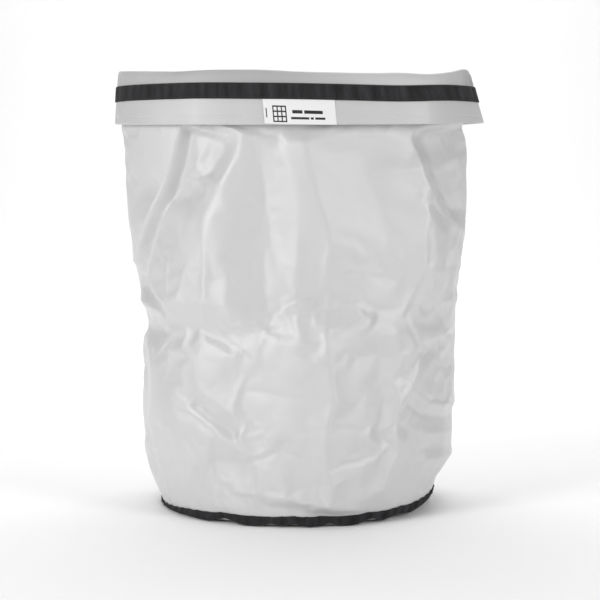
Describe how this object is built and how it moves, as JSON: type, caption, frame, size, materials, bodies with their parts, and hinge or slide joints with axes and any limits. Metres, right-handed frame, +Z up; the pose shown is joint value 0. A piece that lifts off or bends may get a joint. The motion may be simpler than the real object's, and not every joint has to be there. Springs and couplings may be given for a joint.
{
  "type": "filter bag",
  "caption": "Open round-based cloth bag with a flat mesh base, a turned-down cuff and a webbing band round its oval mouth, for collecting or straining what is put in it.",
  "frame": {"origin": "on the floor, at the middle of the round base", "axes": "+Z up through the mouth, front with the label at -Y, right at +X; the mouth's long axis lies along X"},
  "size_m": [0.3678, 0.2718, 0.43],
  "materials": {
    "body_cloth": "thin white coated nylon, plain weave, slight sheen",
    "cuff_cloth": "thin white nylon facing, slightly greyer and stiffer than the body",
    "webbing": "black ribbed webbing, matt",
    "seam_tape": "black woven binding tape, matt",
    "dark_thread": "black polyester sewing thread",
    "light_thread": "white polyester sewing thread",
    "label": null,
    "filter_mesh": "fine light grey monofilament mesh"
  },
  "bodies": {
    "root": {"bag_body": "body_cloth", "mouth_cuff": "cuff_cloth", "mouth_webbing": "webbing", "webbing_lap": "webbing", "webbing_stitch_lower": "dark_thread", "webbing_stitch_upper": "dark_thread", "cuff_hem_stitch": "light_thread", "facing_stitch": "light_thread", "size_label": "label", "label_tack": "dark_thread", "base_mesh": "filter_mesh", "base_tape": "seam_tape", "base_tape_stitch_lower": "dark_thread", "base_tape_stitch_upper": "dark_thread", "back_seam": "body_cloth", "back_seam_stitch_left": "light_thread", "back_seam_stitch_right": "light_thread"}
  },
  "joints": []
}
